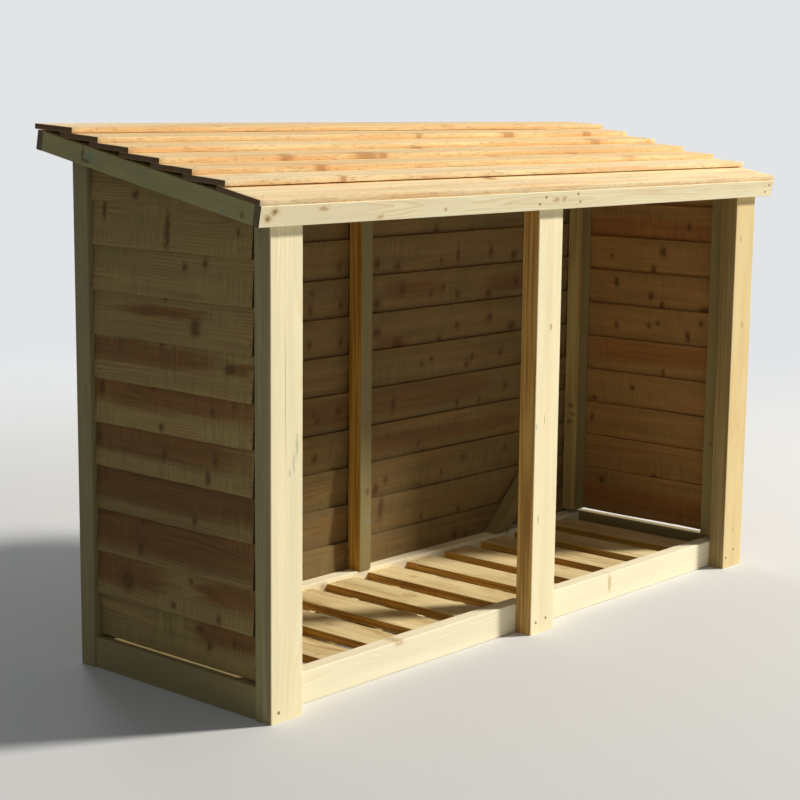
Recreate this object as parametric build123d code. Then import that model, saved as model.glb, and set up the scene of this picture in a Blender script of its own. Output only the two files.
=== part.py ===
from build123d import *
import math
import os

# Open-fronted timber log store with a lapped mono-pitch roof.
#
# The store stands on a low slatted base. Three broad posts stand in front of it, two square
# posts behind it, and lapped boards close the two sides and the back. The roof is low at the
# front and high at the back.
#
# Lengths are in millimetres. While it is drawn, X runs from the outer face of the left front
# post to the right, Y runs back from the front face of the front posts, and Z is up from the
# ground. The finished pieces are shifted so that the origin is at the middle of the footprint.

# Overall frame
frame_width = 1884.0
eaves_height = 1050.0
roof_slope = 11.0
seat = 0.3

# Front posts
post_width = 95.0
post_depth = 48.0
post_arris = 3.0

# Rear posts
rear_post_width = 48.0
rear_post_depth = 48.0

# Slatted base
base_depth = 534.0
base_inset = 4.0
rail_height = 73.0
rail_thickness = 40.0
rail_arris = 2.5
slat_count = 11
slat_width = 100.0
slat_thickness = 20.0
slat_drop = 10.0
slat_arris = 1.5
ledger_thickness = 25.0
ledger_height = 38.0
bearer_width = 45.0

# Uprights inside the walls
stud_size = 43.0
stud_arris = 2.0
stud_inset = 28.0
corner_stud_width = 48.0
corner_stud_depth = 47.0
middle_stud_offset = -65.5

# Braces low on the back wall
brace_length = 330.0
brace_slope = 45.0
brace_foot_reach = 377.0

# Lapped wall boards
board_width = 130.0
wall_board_thickness = 8.0
board_pitch = 100.0
board_end_gap = 2.0
least_top_strip = 15.0
side_board_setback = 16.0
left_wall_lift = 5.0
right_wall_lift = 10.0
back_board_foot = 17.0
notch_clearance = 4.0

# Roof frame and boards
rafter_width = 50.0
rafter_height = 44.0
rafter_overhang = 44.0
rafter_arris = 2.0
fascia_thickness = 19.0
fascia_arris = 1.5
roof_board_thickness = 12.0
roof_board_pitch = 102.0
least_last_step = 26.0
roof_board_setback = 3.0
roof_board_side_overhang = 3.0
roof_board_back_overhang = 8.0

# Places worked out from the sizes above
base_back = post_depth + base_depth
slat_top = rail_height - slat_drop
slat_underside = slat_top - slat_thickness
slat_length = base_depth - 2 * rail_thickness
base_inner_x = base_inset + rail_thickness
base_clear_width = frame_width - 2 * base_inner_x
middle_post_x = (frame_width - post_width) / 2
middle_stud_x = (frame_width - stud_size) / 2 + middle_stud_offset
roof_width = frame_width + 2 * rafter_width
cutting_reach = 3 * frame_width

# The roof is drawn flat and tipped up about the lower back edge of the front fascia.
slope_angle = math.radians(roof_slope)
rafter_length = (base_back + rear_post_depth + rafter_overhang) / math.cos(slope_angle)
rafter_foot = eaves_height + fascia_thickness * math.sin(slope_angle)
roof_place = Location((0, 0, rafter_foot), (roof_slope, 0, 0))
wall_top = rafter_foot + base_back * math.tan(slope_angle) + rafter_height / math.cos(slope_angle)


def timber(start, size, arris, along):
    """A planed length of timber with its four long edges eased."""
    block = Box(*size, align=(Align.MIN, Align.MIN, Align.MIN))
    return Pos(*start) * fillet(block.edges().filter_by(along), arris)


def above_roof():
    """Everything above the top of the rafters, which is cut off the upright pieces."""
    block = Box(cutting_reach, cutting_reach, cutting_reach, align=(Align.CENTER, Align.CENTER, Align.MIN))
    return roof_place * Pos(0, 0, rafter_height - seat) * block


def upright(x, y, foot, width, depth, arris):
    """A post or stud whose top is cut to the slope of the roof."""
    tall = timber((x, y, foot), (width, depth, 2 * eaves_height), arris, Axis.Z)
    return tall - above_roof()


def board_lean(pitch, thickness):
    """How far a lapped board leans, so that it lies on the board before it."""
    return math.degrees(math.asin((thickness + seat) / pitch))


def lapped_board(length, thickness, head, lean):
    """A board along X whose head touches the plane Y = 0 and whose foot leans out to +Y."""
    board = Box(length, thickness, board_width, align=(Align.MIN, Align.MIN, Align.MAX))
    return Pos(0, seat, head) * Rot(lean, 0, 0) * board


def wall_boards(length, foot):
    """A wall of lapped boards along X, up to the roof: the lowest is flat and the rest lap over it."""
    first_head = foot + board_width
    laps = math.ceil((wall_top - first_head - least_top_strip) / board_pitch)
    heads = [first_head + number * board_pitch for number in range(laps + 1)]
    leans = [0.0] + [board_lean(board_pitch, wall_board_thickness)] * laps
    return [lapped_board(length, wall_board_thickness, head, lean) for head, lean in zip(heads, leans)]


def front_posts():
    places = {"left": 0.0, "middle": middle_post_x, "right": frame_width - post_width}
    return {
        f"front_post_{side}": upright(x, 0, 0, post_width, post_depth, post_arris)
        for side, x in places.items()
    }


def rear_posts():
    places = {"left": 0.0, "right": frame_width - rear_post_width}
    return {
        f"rear_post_{side}": upright(x, base_back, 0, rear_post_width, rear_post_depth, post_arris)
        for side, x in places.items()
    }


def base_rails():
    """The base is a low frame: side rails from front to back, with the long rails between them."""
    long_size = (base_clear_width, rail_thickness, rail_height)
    short_size = (rail_thickness, base_depth, rail_height)
    right_x = frame_width - base_inset - rail_thickness
    return {
        "base_rail_front": timber((base_inner_x, post_depth, 0), long_size, rail_arris, Axis.X),
        "base_rail_back": timber((base_inner_x, base_back - rail_thickness, 0), long_size, rail_arris, Axis.X),
        "base_rail_left": timber((base_inset, post_depth, 0), short_size, rail_arris, Axis.Y),
        "base_rail_right": timber((right_x, post_depth, 0), short_size, rail_arris, Axis.Y),
    }


def slat_supports():
    """Ledgers along the two long rails and a bearer midway carry the slats."""
    foot = slat_underside - ledger_height
    front_y = post_depth + rail_thickness
    back_y = base_back - rail_thickness - ledger_thickness
    middle_y = post_depth + (base_depth - bearer_width) / 2
    ledger_size = (base_clear_width, ledger_thickness, ledger_height)
    bearer_size = (base_clear_width, bearer_width, slat_underside)
    return {
        "slat_ledger_front": timber((base_inner_x, front_y, foot), ledger_size, slat_arris, Axis.X),
        "slat_ledger_back": timber((base_inner_x, back_y, foot), ledger_size, slat_arris, Axis.X),
        "slat_bearer_middle": timber((base_inner_x, middle_y, 0), bearer_size, slat_arris, Axis.X),
    }


def floor_slats():
    """Slats from front to back, spread evenly between the side rails."""
    gap = (base_clear_width - slat_count * slat_width) / (slat_count + 1)
    size = (slat_width, slat_length, slat_thickness)
    slats = {}
    for number in range(slat_count):
        x = base_inner_x + gap + number * (slat_width + gap)
        corner = (x, post_depth + rail_thickness, slat_underside)
        slats[f"floor_slat_{number + 1:02d}"] = timber(corner, size, slat_arris, Axis.Y)
    return slats


def wall_uprights():
    """Stiles behind the corner posts and studs at the back, all inside the lapped boards."""
    right_x = frame_width - stud_inset - corner_stud_width
    corner_y = base_back - corner_stud_depth
    middle_y = base_back - stud_size
    left_foot = rail_height + left_wall_lift
    right_foot = rail_height + right_wall_lift
    stile_section = (corner_stud_width, stud_size)
    corner_section = (corner_stud_width, corner_stud_depth)
    return {
        "side_stile_left": upright(stud_inset, post_depth, left_foot, *stile_section, stud_arris),
        "side_stile_right": upright(right_x, post_depth, right_foot, *stile_section, stud_arris),
        "back_stud_left": upright(stud_inset, corner_y, left_foot, *corner_section, stud_arris),
        "back_stud_right": upright(right_x, corner_y, right_foot, *corner_section, stud_arris),
        "back_stud_middle": upright(middle_stud_x, middle_y, rail_height, stud_size, stud_size, stud_arris),
    }


def back_braces():
    """Short braces on the back boards, which climb from the back rail towards the corner studs."""
    foot_x = frame_width - stud_inset - corner_stud_width - brace_foot_reach
    blank_size = (brace_length, stud_size, stud_size)
    blank = timber((0, base_back - stud_size, -stud_size), blank_size, stud_arris, Axis.X)
    below_rail = Box(cutting_reach, cutting_reach, cutting_reach, align=(Align.CENTER, Align.CENTER, Align.MAX))
    leaning = Pos(foot_x, 0, rail_height) * Rot(0, -brace_slope, 0) * blank
    right = leaning - Pos(0, 0, rail_height) * below_rail
    left = mirror(right, about=Plane.YZ.offset(frame_width / 2))
    return {"back_brace_left": left, "back_brace_right": right}


def side_cladding(lift):
    """Boards of one side wall, drawn along X with their outer side towards +Y."""
    length = base_back - board_end_gap - post_depth - side_board_setback
    return wall_boards(length, rail_height + lift)


def cladding():
    """The three lapped walls, cut to the roof, with the back one notched for the middle rafter."""
    front_y = post_depth + side_board_setback
    left_place = Pos(stud_inset, front_y, 0) * Rot(0, 0, 90)
    right_place = Pos(frame_width - stud_inset, base_back - board_end_gap, 0) * Rot(0, 0, -90)
    back_place = Pos(rear_post_width + board_end_gap, base_back, 0)
    back_length = frame_width - 2 * (rear_post_width + board_end_gap)
    walls = {
        "cladding_left": [left_place * board for board in side_cladding(left_wall_lift)],
        "cladding_right": [right_place * board for board in side_cladding(right_wall_lift)],
        "cladding_back": [back_place * board for board in wall_boards(back_length, back_board_foot)],
    }
    cutters = [above_roof(), rafter_notch()]
    return {name: Compound(children=cut_boards(boards, cutters)) for name, boards in walls.items()}


def cut_boards(boards, cutters):
    """What is left of each board, as separate solids, after the cutters are taken away."""
    return [piece for board in boards for piece in board.cut(*cutters).solids()]


def rafters():
    """Rafters outside the corner posts, and one against the right side of the middle post."""
    places = {"left": -rafter_width, "middle": middle_post_x + post_width, "right": frame_width}
    size = (rafter_width, rafter_length, rafter_height)
    return {
        f"rafter_{side}": roof_place * timber((x, 0, 0), size, rafter_arris, Axis.Y)
        for side, x in places.items()
    }


def rafter_notch():
    """The middle rafter with room round it, to notch the boards it passes through."""
    size = (rafter_width + 2 * notch_clearance, rafter_length, rafter_height + notch_clearance)
    corner = (middle_post_x + post_width - notch_clearance, 0, -notch_clearance)
    return roof_place * Pos(*corner) * Box(*size, align=(Align.MIN, Align.MIN, Align.MIN))


def fascias():
    """Boards nailed across the ends of the rafters, square to the slope."""
    size = (roof_width, fascia_thickness, rafter_height)
    front = timber((-rafter_width, -fascia_thickness, 0), size, fascia_arris, Axis.X)
    rear = timber((-rafter_width, rafter_length, 0), size, fascia_arris, Axis.X)
    return {"fascia_front": roof_place * front, "fascia_rear": roof_place * rear}


def roof_board_heads():
    """Where each roof board's upper edge lies along the slope, from the lowest board to the highest."""
    first = roof_board_setback - fascia_thickness + board_width
    last = rafter_length + fascia_thickness + roof_board_back_overhang
    full_steps = math.floor((last - first - least_last_step) / roof_board_pitch)
    return [first + number * roof_board_pitch for number in range(full_steps + 1)] + [last]


def roof_boards():
    """Lapped boards across the rafters: the lowest lies flat and the highest is a shorter step."""
    length = roof_width + 2 * roof_board_side_overhang
    heads = roof_board_heads()
    pitches = [head - lower for lower, head in zip(heads, heads[1:])]
    leans = [0.0] + [board_lean(pitch, roof_board_thickness) for pitch in pitches]
    place = roof_place * Pos(-rafter_width - roof_board_side_overhang, 0, rafter_height)
    upright_to_flat = Pos(length, 0, 0) * Rot(0, 0, 180) * Rot(90, 0, 0)
    boards = {}
    for number, (head, lean) in enumerate(zip(heads, leans)):
        board = upright_to_flat * lapped_board(length, roof_board_thickness, head, lean)
        boards[f"roof_board_{len(heads) - number}"] = place * board
    return boards


def main():
    pieces = {}
    for group in (front_posts, rear_posts, base_rails, slat_supports, floor_slats,
                  wall_uprights, back_braces, cladding, rafters, fascias, roof_boards):
        pieces.update(group())
    boxes = [piece.bounding_box() for piece in pieces.values()]
    front = min(box.min.Y for box in boxes)
    back = max(box.max.Y for box in boxes)
    height = max(box.max.Z for box in boxes)
    centre = Location((-frame_width / 2, -(front + back) / 2, 0))
    os.makedirs("parts", exist_ok=True)
    for name, piece in pieces.items():
        export_step(piece.moved(centre), f"parts/{name}.step")
    width = roof_width + 2 * roof_board_side_overhang
    print(f"{len(pieces)} nodes, {width:.1f} x {back - front:.1f} x {height:.1f} mm")


main()
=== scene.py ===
import math
import random

import bmesh
import bpy
from mathutils import Matrix, Vector, noise
from mathutils.bvhtree import BVHTree


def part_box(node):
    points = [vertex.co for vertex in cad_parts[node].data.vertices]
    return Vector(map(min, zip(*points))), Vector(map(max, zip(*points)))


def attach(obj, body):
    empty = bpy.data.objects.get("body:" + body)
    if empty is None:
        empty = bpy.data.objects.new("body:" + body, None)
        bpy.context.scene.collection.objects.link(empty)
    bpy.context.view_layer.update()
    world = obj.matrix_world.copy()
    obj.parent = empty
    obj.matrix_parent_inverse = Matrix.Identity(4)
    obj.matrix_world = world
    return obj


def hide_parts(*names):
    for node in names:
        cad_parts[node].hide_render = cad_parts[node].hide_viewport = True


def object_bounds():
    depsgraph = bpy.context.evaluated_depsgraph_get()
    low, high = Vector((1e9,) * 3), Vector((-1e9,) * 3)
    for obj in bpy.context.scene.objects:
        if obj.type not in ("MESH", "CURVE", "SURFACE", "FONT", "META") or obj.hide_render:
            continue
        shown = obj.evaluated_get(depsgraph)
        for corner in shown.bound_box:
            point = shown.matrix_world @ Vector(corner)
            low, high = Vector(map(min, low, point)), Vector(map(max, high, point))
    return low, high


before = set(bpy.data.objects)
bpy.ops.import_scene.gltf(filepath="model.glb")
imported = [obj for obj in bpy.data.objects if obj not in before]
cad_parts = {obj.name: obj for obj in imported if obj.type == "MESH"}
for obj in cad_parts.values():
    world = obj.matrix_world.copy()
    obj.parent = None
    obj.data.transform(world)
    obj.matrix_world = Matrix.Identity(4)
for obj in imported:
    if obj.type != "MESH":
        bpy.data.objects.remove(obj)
cad_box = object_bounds()

# Open-fronted timber log store. The planed timbers keep their CAD meshes and get wood materials.
# The rough-sawn boards are built again from their CAD solids, with worn edges and a sawn wobble.
# Lengths are in metres, except inside the wood materials and the tables of marks, which are in
# millimetres in the part's own frame.

MM = 0.001
MM_PER_METRE = 1000
X_AXIS = Vector((1, 0, 0))
Y_AXIS = Vector((0, 1, 0))
Z_AXIS = Vector((0, 0, 1))
ROOF_SLOPE = math.radians(11)
UP_SLOPE = Vector((0, math.cos(ROOF_SLOPE), math.sin(ROOF_SLOPE)))
OFF_SLOPE = Vector((0, -math.sin(ROOF_SLOPE), math.cos(ROOF_SLOPE)))

# The sRGB curve of display colours
DISPLAY_MAX = 255
CURVE_START = 0.04045
CURVE_OFFSET = 0.055
CURVE_POWER = 2.4
DARK_SLOPE = 12.92

# Sawn boards, in metres
BOARD_ARRIS = 0.0009
BOARD_SLICE = 0.022
EDGE_WAVER = 0.0015
EDGE_CHIP = 0.0011
FACE_WAVER = 0.0004
EDGE_WAVE_LENGTH = 0.23
CHIP_LENGTH = 0.031
FACE_WAVE_LENGTH = 0.16
NAIL_START = 3.0

# Sawn boards, as counts, shares and places in the noise that bends them
BOARD_LANES = 4
ARRIS_SEGMENTS = 2
ARRIS_PROFILE = 0.5
EDGE_POWER = 3
FACE_WAVES = 2
CHIP_LAYER = 4
FACE_LAYER = 9
SEED_STEPS = (7.3, 3.1, 1.7)

# Limits that join, smooth and sort the faces of the meshes, and one that no mark reaches
WELD_GAP = 0.02 * MM
FLAT_ANGLE = math.radians(1)
CRISP_ANGLE = math.radians(35)
FACING = 0.9
ROOF_LEAN = 0.5
NO_LIMIT = 9999.0

# The first random seed of each kind of piece
SEEDS = {
    "front_post": 10, "back_stud": 20, "rafter": 30, "rear_post": 40, "side_stile": 50, "back_brace": 55,
    "side_rail": 60, "front_rail": 70, "back_rail": 71, "fascia_front": 72, "fascia_rear": 73,
    "slat_support": 80, "floor_slat": 90, "cladding_left": 120, "cladding_right": 140,
    "cladding_back": 160, "roof_board": 200,
}

# Knots per metre of a piece whose knots the photograph doesn't show, with their radii and places
FEW_KNOTS = 1
SOME_KNOTS = 2
MANY_KNOTS = 3
BOARD_KNOTS = 4
KNOT_RADII = (3, 8)
KNOT_STRETCH = (1, 1.6)
KNOTS_ALONG = 0.47
KNOTS_ACROSS = 0.42

# Noise in the wood: the size of its blobs along, across and through the grain, and its detail
FRAY_NOISE = ((16, 9, 9), 3.0)
HEART_NOISE = ((150, 14, 14), 2.0)
SLOW_WAVE_NOISE = ((620, 95, 95), 1.0)
QUICK_WAVE_NOISE = ((110, 16, 16), 2.0)
FIBRE_NOISE = ((70, 1.1, 1.1), 3.0)
BAND_NOISE = ((420, 24, 24), 3.0)
PATCH_NOISE = ((170, 60, 60), 2.0)
STRAND_NOISE = ((330, 7, 7), 3.0)
SAW_NOISE = ((4.2, 75, 75), 2.5)
GLOW_NOISE = ((380, 16, 16), 2.5)
SPLINTER_NOISE = ((26, 2.6, 2.6), 2.0)
NOISE_SHIFT = 4000
NOISE_MIDDLE = 0.5
SAW_TILT = 0.05

# How far the noise pushes what it bends, along, across and through the grain
FRAY_ALONG = 14
FRAY_ACROSS = 9
HEART_PUSH = (150, 22, 0)
SLOW_WAVE = (0, 42, 42)
QUICK_WAVE = (0, 5, 5)

# How far the pith is from the middle of a timber, and the heartwood's radius, where one below 0 is none
PITH_SIDEWAYS = 55
PITH_DEPTHS = (14, 70)
HEART_RADII = (-30, 55)
HEART_EDGE = 5

# Marks: how deep each kind goes, and the distance that counts as far from all of them
THROUGH = 200.0
SKIN = 12.0
MARK_DEPTHS = {"knots": THROUGH, "stains": SKIN, "shadows": SKIN, "checks": SKIN}
FAR = 9.0

# Smooth steps in the wood: the value where each starts to show and the value where it is in full
RING_RISE = (0.25, 0.85)
RING_STOP = (1.0, 0.9)
CLEAR_PATCHES = (0.34, 0.66)
TINTED_PATCHES = (0.64, 0.4)
SAWN_PATCHES = (0.66, 0.3)
STRANDS = (0.36, 0.64)
KNOT_PULL = (3.0, 0.7)
SMUDGE_FADE = (1.5, 0.2)
HALO_FADE = (2.4, 0.8)
CORE_FADE = (0.9, 0.1)
CORE_EDGE = (1.0, 0.9)
RIM_RISE = (0.75, 0.95)
RIM_FALL = (1.2, 1.0)
BLOTCH_FADE = (1.25, 0.4)
END_FACING = (0.75, 0.85)
PAINTED_SIDE_FACING = (0.6, 0.9)
ROOF_FRONT = (-10, -60)
GLOW_FADE = (0.5, 0.74)
SPLINTER_FADE = (0.6, 0.72)

# Shares and amounts in the wood
SHADE_RANGE = (0.96, 1.04)
RING_CLEARNESS = 1.7
FIBRE_TONE = 0.5
BAND_TONE = 0.9
STREAK_GAIN = 2.0
STREAK_MIDDLE = 1.4
HALO_SHARE = 0.5
CORE_PALENESS = 0.4
GLOW_SHARE = 0.5
GLOW_AT_FRONT = 0.1
SPLINTER_SHARE = 0.4
SPLINTERS_AT_FRONT = 0.05
END_SHARE = 0.9
LATE_HEIGHT = 0.35
FIBRE_HEIGHT = 0.6
RELIEF_DEPTH = 0.6 * MM
ROUGH_SWING = 0.16
WOOD_GLOSS = 0.3

# A knot's smudge, as a share of the knot's radius and a margin in millimetres
SMUDGE_LENGTH = (1.1, 5)
SMUDGE_WIDTH = (1.5, 7)


def colour(red, green, blue):
    """A display colour of 0 to 255 as the linear value that a shader takes."""
    return (linear(red), linear(green), linear(blue), 1.0)


def linear(value):
    """One channel of a display colour, by the sRGB curve."""
    share = value / DISPLAY_MAX
    if share <= CURVE_START:
        return share / DARK_SLOPE
    return ((share + CURVE_OFFSET) / (1 + CURVE_OFFSET)) ** CURVE_POWER


def timber(base=(), **features):
    """A kind of timber's look: the base's features, but for those given. Colours are of 0 to 255."""
    look = dict(base)
    for name, value in features.items():
        look[name] = colour(*value) if isinstance(value, tuple) else value
    return look


def on_side(x, marks):
    """The marks of a side wall, which all have the same x."""
    return [(x, *mark) for mark in marks]


def on_back(y, marks):
    """The marks of the back wall, which all have the same y."""
    return [(x, y, *others) for x, *others in marks]


# The side colours go on the faces that a piece names. They are painted light and shade: golden where warm
# light bounces onto a side, olive where a side lies in shade, over some of the wood's own tone.
# Looks: colours, the gap between rings in millimetres, and the strength of each feature, where 0 is none
PLANED = timber(
    early=(253, 240, 198), late=(230, 206, 152), heart=(248, 228, 186), heart_late=(230, 202, 152),
    knot=(164, 128, 84), halo=(222, 194, 136), tint=(228, 218, 172), end=(92, 72, 44),
    side=(208, 168, 82), side_late=(160, 112, 44), side_share=0.92, ring_gap=5.4, ring_strength=0.18,
    ring_bulge=1.4, heart_share=0.5, streaks=0.13, saw=0.0, tint_strength=0.22, smudge=0.0,
    knot_share=0.6, knot_blur=0.2, knot_rim=0.3, fray=1.0, edge_glow=None, bump=0.12, roughness=0.58,
)
# The left and right posts' side colours are painted shade on their left faces.
LEFT_POST = timber(PLANED, side=(148, 142, 96), side_late=(128, 118, 74))
RIGHT_POST = timber(
    PLANED, early=(229, 202, 144), late=(206, 170, 108), side=(160, 138, 88), side_late=(134, 110, 62),
    knot_share=0.4,
)
# The rear posts' darker colour is painted shade on the same planed timber.
SHADED_REAR_POST = timber(PLANED, early=(152, 140, 98), late=(126, 110, 72), tint=(128, 130, 94))
RAIL = timber(
    PLANED, early=(247, 237, 204), late=(228, 208, 162), tint=(236, 230, 200), knot_share=0.35,
    knot_blur=0.35, knot_rim=0.1,
)
# The side rails' dark olive is painted shade on the same planed timber.
SHADED_SIDE_RAIL = timber(
    PLANED, early=(154, 136, 90), late=(126, 106, 64), heart=(148, 124, 78), heart_late=(124, 98, 56),
    tint=(132, 130, 92), tint_strength=0.5,
)
# The rafters' dark olive is painted shade.
RAFTER = timber(
    SHADED_SIDE_RAIL, early=(172, 162, 108), late=(146, 132, 82), tint=(132, 138, 96), tint_strength=0.4,
)
FASCIA = timber(
    PLANED, early=(255, 245, 206), late=(238, 214, 160), end=(74, 54, 30), knot_share=0.5, knot_rim=0.2,
    ring_gap=4.6, ring_strength=0.4,
)
# The studs' golden side colour is partly the wood's own tone, partly painted warm bounce light.
STUD = timber(
    PLANED, early=(146, 130, 84), late=(122, 100, 62), heart=(140, 112, 66), heart_late=(116, 88, 48),
    knot=(100, 76, 44), halo=(132, 108, 66), side=(222, 182, 92), side_late=(184, 134, 48),
    tint=(134, 132, 92), tint_strength=0.4,
)
RIGHT_STUD = timber(STUD, side=(200, 180, 122), side_late=(170, 148, 92))
# The slats' golden side colour is partly the wood's own tone, partly painted warm light.
SLAT = timber(
    PLANED, early=(228, 205, 151), late=(183, 151, 96), heart=(212, 176, 124), heart_late=(170, 130, 82),
    knot=(150, 112, 70), side=(214, 166, 68), side_late=(168, 118, 38), ring_gap=3.8, ring_strength=0.6,
    streaks=0.34, tint_strength=0.1, knot_share=0.4, knot_blur=0.35, bump=0.28,
)
# The wall boards' dark brown is partly weathered wood, partly painted shade.
WALL_BOARD = timber(
    early=(156, 131, 80), late=(116, 91, 50), heart=(122, 80, 38), heart_late=(90, 55, 24),
    knot=(78, 50, 28), halo=(122, 84, 44), tint=(140, 126, 76), end=(84, 60, 36), ring_gap=6.5,
    ring_strength=0.3, ring_bulge=1.2, heart_share=0.8, heart_blur=0.7, streaks=0.36, saw=1.3,
    tint_strength=0.4, smudge=0.26, knot_share=0.62, knot_blur=0.45, knot_rim=0.2, fray=1.0,
    edge_glow=None, bump=0.6, roughness=0.76,
)
# The back boards are darker again: painted shade of the store's inside, over the weathered wood.
BACK_BOARD = timber(
    WALL_BOARD, early=(134, 107, 62), late=(98, 75, 42), heart=(116, 80, 44), heart_late=(90, 60, 30),
    tint=(108, 96, 62), knot=(64, 45, 27), heart_share=0.65, heart_blur=0.6, ring_strength=0.22, saw=1.0,
    smudge=0.3, knot_share=0.65, knot_blur=0.5, knot_rim=0.1,
)
RIGHT_BOARD = timber(
    BACK_BOARD, early=(172, 130, 76), late=(134, 94, 50), heart=(156, 100, 50), heart_late=(124, 76, 36),
    tint=(136, 112, 66),
)
# The roof boards' dark end colour is partly end grain, partly painted shade on their shaded ends.
ROOF_BOARD = timber(
    early=(246, 218, 164), late=(226, 180, 118), heart=(238, 192, 130), heart_late=(216, 158, 92),
    knot=(148, 112, 78), halo=(220, 154, 88), tint=(236, 204, 148), end=(80, 52, 26), ring_gap=7.0,
    ring_strength=0.3, ring_bulge=1.4, heart_share=0.5, streaks=0.24, saw=0.5, tint_strength=0.3,
    smudge=0.0, knot_share=0.58, knot_blur=0.4, knot_rim=0.1, fray=1.8, edge_glow=(230, 168, 100),
    bump=0.5, roughness=0.7,
)
PALE_ROOF_BOARD = timber(ROOF_BOARD, early=(251, 230, 184), late=(234, 200, 144), heart_share=0.2)
PALE_ROOF_BOARDS = 2

# Soft-edged marks: their kind, colour and share
BLOTCHES = (
    ("stains", colour(120, 150, 138), 0.4), ("shadows", colour(84, 70, 46), 0.6),
    ("checks", colour(92, 66, 40), 0.7),
)

# Knots: x, y, z, then the radii along and across. A wall's marks share the x or y that stands before them.
# Those in places that the photograph hides are guesses.
LEFT_WALL_KNOTS = on_side(-922, [
    (-59, 947, 5, 5), (-122, 960, 5, 6), (-92, 821, 11, 14), (18, 778, 4, 4), (6, 878, 4, 4),
    (92, 1096, 8, 6), (-226, 1031, 4, 5), (224, 658, 8, 12), (53, 677, 4, 5), (-144, 643, 4, 5),
    (-6, 1020, 6, 30), (206, 1057, 4, 14), (-197, 742, 12, 7), (237, 545, 7, 10), (18, 592, 5, 5),
    (12, 532, 5, 8), (-151, 541, 5, 7), (-130, 501, 5, 10), (-87, 399, 5, 6), (92, 368, 4, 7),
    (93, 310, 8, 12), (141, 227, 16, 18), (-68, 262, 5, 4), (-16, 197, 5, 5), (-162, 195, 4, 8),
    (-121, 125, 5, 9), (-204, 148, 6, 5), (-94, 158, 10, 5),
])
RIGHT_WALL_KNOTS = on_side(908, [
    (-51, 878, 9, 9), (-18, 825, 5, 8), (128, 856, 4, 4), (-189, 897, 10, 7), (-135, 953, 4, 6),
    (107, 780, 5, 9), (-13, 748, 6, 8), (-50, 723, 5, 9), (-201, 719, 16, 5), (36, 694, 7, 5),
    (194, 690, 6, 6), (105, 651, 4, 6), (-9, 659, 4, 5), (-42, 669, 4, 4), (-188, 680, 4, 5),
    (-143, 637, 5, 12), (-63, 527, 4, 6), (41, 471, 4, 4), (180, 425, 6, 5), (183, 366, 4, 7),
    (140, 180, 6, 6), (-41, 212, 6, 5),
])
BACK_WALL_KNOTS = on_back(249, [
    (-120, 879, 6, 5), (-221, 815, 5, 5), (-224, 775, 6, 7), (-113, 777, 5, 7), (-229, 684, 6, 7),
    (-113, 684, 6, 6), (-121, 503, 7, 5), (-214, 501, 6, 4), (26, 876, 9, 8), (108, 865, 10, 8),
    (267, 957, 6, 6), (360, 883, 5, 14), (289, 870, 4, 4), (504, 886, 5, 9), (611, 869, 10, 8),
    (126, 803, 8, 12), (295, 796, 4, 7), (360, 773, 8, 7), (499, 767, 10, 10), (246, 781, 4, 4),
    (27, 771, 12, 9), (620, 790, 9, 9), (25, 694, 12, 9), (358, 685, 7, 6), (502, 696, 10, 8),
    (605, 663, 12, 9), (111, 654, 16, 11), (284, 655, 5, 4), (403, 634, 5, 7), (599, 630, 8, 6),
    (29, 633, 14, 12), (250, 603, 6, 4), (208, 593, 4, 5), (403, 573, 5, 6), (425, 589, 5, 5),
    (556, 591, 6, 7), (93, 496, 6, 16), (363, 464, 4, 8), (463, 461, 4, 7), (580, 491, 7, 8),
    (-202, 485, 7, 6), (-124, 499, 5, 4), (48, 419, 6, 7), (317, 422, 5, 8), (201, 369, 4, 5),
    (582, 310, 5, 5), (223, 324, 4, 20), (393, 309, 5, 5), (66, 289, 7, 5), (299, 275, 4, 6),
    (26, 268, 9, 12), (44, 217, 6, 24), (216, 166, 4, 6), (378, 158, 4, 4), (-210, 386, 8, 8),
    (-640, 350, 8, 6), (-520, 250, 6, 6), (-700, 560, 7, 6), (-430, 930, 6, 7), (-810, 830, 6, 5),
    (-330, 450, 7, 8), (-480, 720, 5, 6), (-760, 130, 8, 7), (720, 930, 6, 7), (800, 610, 8, 6),
    (690, 360, 6, 6), (830, 240, 7, 7),
])
ROOF_KNOTS = [
    (283, 249, 1230, 16, 14), (430, 144, 1209, 22, 16), (792, 144, 1209, 16, 12), (696, 54, 1192, 28, 14),
    (954, 52, 1192, 10, 8), (-76, 33, 1188, 14, 14), (97, -72, 1167, 12, 9), (444, -71, 1168, 9, 7),
    (583, -145, 1153, 22, 12), (266, -387, 1106, 16, 10), (-155, -265, 1130, 18, 10),
    (729, -390, 1106, 14, 6), (-342, -401, 1104, 14, 8), (-301, -58, 1170, 12, 12),
    (-85, -382, 1107, 8, 6), (-624, -51, 1172, 20, 13), (-355, -48, 1172, 42, 16),
    (-612, -152, 1152, 16, 12), (-960, -403, 1103, 18, 11), (-650, -252, 1132, 10, 10),
    (-916, 64, 1194, 6, 5), (610, 249, 1230, 12, 10), (-540, 255, 1230, 12, 10), (60, 150, 1210, 10, 10),
]

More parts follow.
